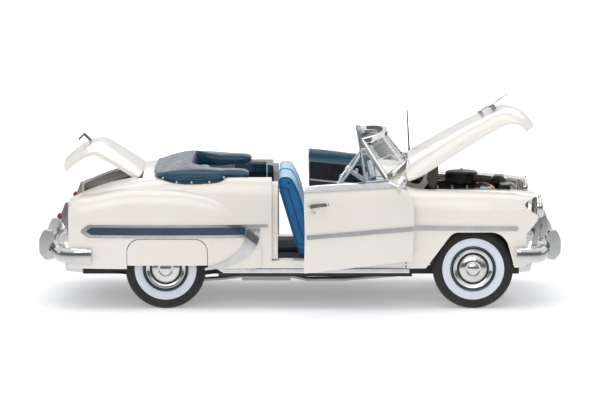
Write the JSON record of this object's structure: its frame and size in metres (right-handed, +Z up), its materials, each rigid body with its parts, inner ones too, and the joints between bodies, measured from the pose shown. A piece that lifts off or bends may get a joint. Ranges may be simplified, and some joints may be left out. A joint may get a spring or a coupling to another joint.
{
  "type": "scale model convertible car",
  "caption": "Die-cast scale model of a full-size 1950s convertible, shown with doors, hood and trunk lid open and the top folded under a fitted cover.",
  "frame": {"origin": "on the ground under the middle of the car's bounding box", "axes": "+X to the car's front, +Y to its left, +Z up"},
  "size_m": [0.2792, 0.1969, 0.1119],
  "materials": {
    "ivory_paint": "gloss enamel, cream white",
    "navy_paint": "gloss enamel, dark navy",
    "chrome": "bright vacuum plating",
    "bright_trim": "bright plated strips",
    "black_engine": "satin black",
    "chassis_black": "satin black",
    "grey_metal": "plain metal",
    "seat_blue": "soft vinyl in two blues with piping",
    "boot_teal": "dark teal vinyl cloth",
    "carpet_floor": "flocked floor with painted walls",
    "dash_blue": "gloss dash with a pale band",
    "clear_glass": "clear moulded pane",
    "lamp_glass": "clear lens over a bright dish",
    "red_lens": "translucent red",
    "tyre_rubber": "matt rubber with a pale sidewall ring",
    "spare_rubber": "matt rubber",
    "rim_metal": "painted rim with a plated cap",
    "steering_plastic": "two-tone moulded wheel",
    "black_plastic": "matt black",
    "battery_black": "black case with plain caps"
  },
  "bodies": {
    "body": {"air_cleaner": "black_plastic", "antenna": "bright_trim", "battery": "battery_black", "bumper_front": "chrome", "bumper_rear": "chrome", "chassis": "chassis_black", "cowl": "ivory_paint", "dashboard": "dash_blue", "engine": "black_engine", "exhaust": "grey_metal", "fender_skirts": "ivory_paint", "floor_pan": "carpet_floor", "front_axle": "chassis_black", "front_fender_left": "ivory_paint", "front_fender_right": "ivory_paint", "front_seat_back": "seat_blue", "front_seat_cushion": "seat_blue", "grille": "chrome", "headlamp_lenses": "lamp_glass", "lamp_rims": "chrome", "quarter_panel_left": "ivory_paint", "quarter_panel_right": "ivory_paint", "radiator": "chassis_black", "rear_axle": "chassis_black", "rear_deck": "ivory_paint", "rear_seat_back": "seat_blue", "rear_seat_cushion": "seat_blue", "side_inset": "navy_paint", "side_trim": "bright_trim", "sills": "ivory_paint", "spare_tyre": "spare_rubber", "steering_wheel": "steering_plastic", "tail_lamp_lenses": "red_lens", "tail_panel": "ivory_paint", "top_boot": "boot_teal", "windscreen_frame": "chrome", "windscreen_glass": "clear_glass"},
    "door_left": {"door_left": "ivory_paint", "door_trim_left": "bright_trim", "vent_glass_left": "clear_glass"},
    "knuckle_left": {"knuckle_left": "chassis_black"},
    "wheel_front_left": {"tyre_front_left": "tyre_rubber", "rim_front_left": "rim_metal"},
    "wheel_rear_left": {"tyre_rear_left": "tyre_rubber", "rim_rear_left": "rim_metal"},
    "door_right": {"door_right": "ivory_paint", "door_trim_right": "bright_trim", "vent_glass_right": "clear_glass"},
    "knuckle_right": {"knuckle_right": "chassis_black"},
    "wheel_front_right": {"tyre_front_right": "tyre_rubber", "rim_front_right": "rim_metal"},
    "wheel_rear_right": {"tyre_rear_right": "tyre_rubber", "rim_rear_right": "rim_metal"},
    "hood": {"hood": "ivory_paint", "hood_ornament": "chrome"},
    "trunk_lid": {"trunk_lid": "ivory_paint", "trunk_handle": "bright_trim"}
  },
  "joints": [
    {"name": "door_left_hinge", "type": "hinge", "parent": "body", "child": "door_left", "pos_m": [0.0645, 0.0465, 0.045], "axis": [0, 0, 1], "range_deg": [0, 39.4]},
    {"name": "door_right_hinge", "type": "hinge", "parent": "body", "child": "door_right", "pos_m": [0.0645, -0.0465, 0.045], "axis": [0, 0, -1], "range_deg": [0, 36.2]},
    {"name": "hood_hinge", "type": "hinge", "parent": "body", "child": "hood", "pos_m": [0.0535, 0, 0.068], "axis": [0, 1, 0], "range_deg": [0, 32]},
    {"name": "trunk_hinge", "type": "hinge", "parent": "body", "child": "trunk_lid", "pos_m": [-0.0862, 0, 0.0686], "axis": [0, -1, 0], "range_deg": [0, 45]},
    {"name": "steer_left", "type": "hinge", "parent": "body", "child": "knuckle_left", "pos_m": [0.0914, 0.036, 0.0212], "axis": [0, 0, 1], "range_deg": [-20, 20]},
    {"name": "steer_right", "type": "hinge", "parent": "body", "child": "knuckle_right", "pos_m": [0.0914, -0.036, 0.0212], "axis": [0, 0, 1], "range_deg": [-20, 20]},
    {"name": "spin_front_left", "type": "hinge", "parent": "knuckle_left", "child": "wheel_front_left", "pos_m": [0.0914, 0.0412, 0.0212], "axis": [0, 1, 0], "continuous": true},
    {"name": "spin_front_right", "type": "hinge", "parent": "knuckle_right", "child": "wheel_front_right", "pos_m": [0.0914, -0.0412, 0.0212], "axis": [0, 1, 0], "continuous": true},
    {"name": "spin_rear_left", "type": "hinge", "parent": "body", "child": "wheel_rear_left", "pos_m": [-0.0709, 0.0412, 0.0212], "axis": [0, 1, 0], "continuous": true},
    {"name": "spin_rear_right", "type": "hinge", "parent": "body", "child": "wheel_rear_right", "pos_m": [-0.0709, -0.0412, 0.0212], "axis": [0, 1, 0], "continuous": true}
  ],
  "couplings": [
    {"joint": "steer_right", "follows": "steer_left", "ratio": 1}
  ]
}
